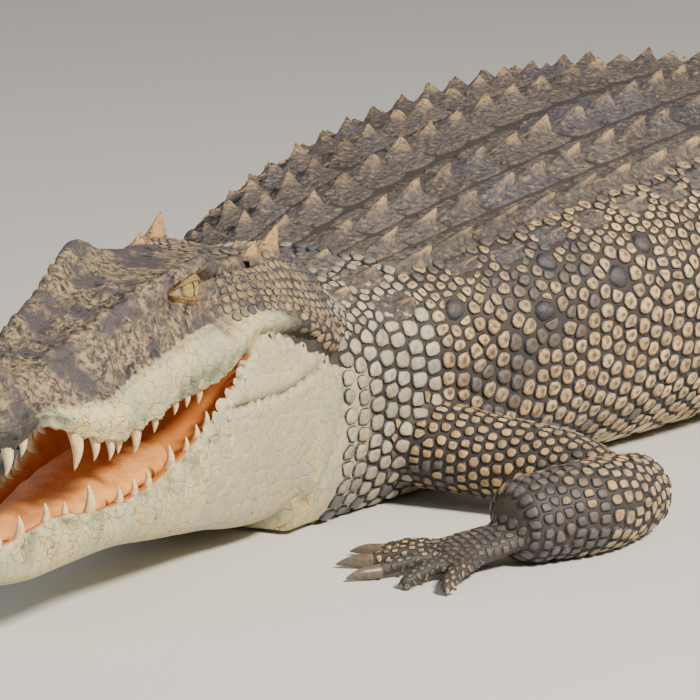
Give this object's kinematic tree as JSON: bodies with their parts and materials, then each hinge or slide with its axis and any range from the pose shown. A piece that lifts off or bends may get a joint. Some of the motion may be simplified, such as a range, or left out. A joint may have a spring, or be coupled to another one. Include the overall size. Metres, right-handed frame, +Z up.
{
  "type": "saltwater crocodile",
  "caption": "Life-size saltwater crocodile lying on its belly with its mouth a little open, a still museum-style model with keeled back plates and a crested tail.",
  "frame": {"origin": "bottom centre of the bounding box, on the floor that the belly rests on", "axes": "+Z up, +Y from head to tail along the animal's length, +X towards its left side"},
  "size_m": [1.4085, 4.5751, 0.4123],
  "materials": {
    "hide": "horny scaled skin, matte to satin",
    "tooth": "stained ivory, satin",
    "eye": "wet gloss",
    "claw": "dark horn, satin",
    "mouth": "moist membrane, satin"
  },
  "bodies": {
    "root": {"head_upper": "hide", "jaw_lower": "hide", "tongue": "mouth", "eye_left": "eye", "eye_right": "eye", "neck": "hide", "trunk_front": "hide", "trunk_rear": "hide", "tail_1": "hide", "tail_2": "hide", "tail_3": "hide", "tail_4": "hide", "upper_arm_left": "hide", "forearm_left": "hide", "hand_left": "hide", "thigh_left": "hide", "shank_left": "hide", "foot_left": "hide", "claw_hand_left_1": "claw", "claw_hand_left_2": "claw", "claw_hand_left_3": "claw", "claw_foot_left_1": "claw", "claw_foot_left_2": "claw", "claw_foot_left_3": "claw", "upper_arm_right": "hide", "forearm_right": "hide", "hand_right": "hide", "thigh_right": "hide", "shank_right": "hide", "foot_right": "hide", "claw_hand_right_1": "claw", "claw_hand_right_2": "claw", "claw_hand_right_3": "claw", "claw_foot_right_1": "claw", "claw_foot_right_2": "claw", "claw_foot_right_3": "claw"}
  },
  "joints": []
}
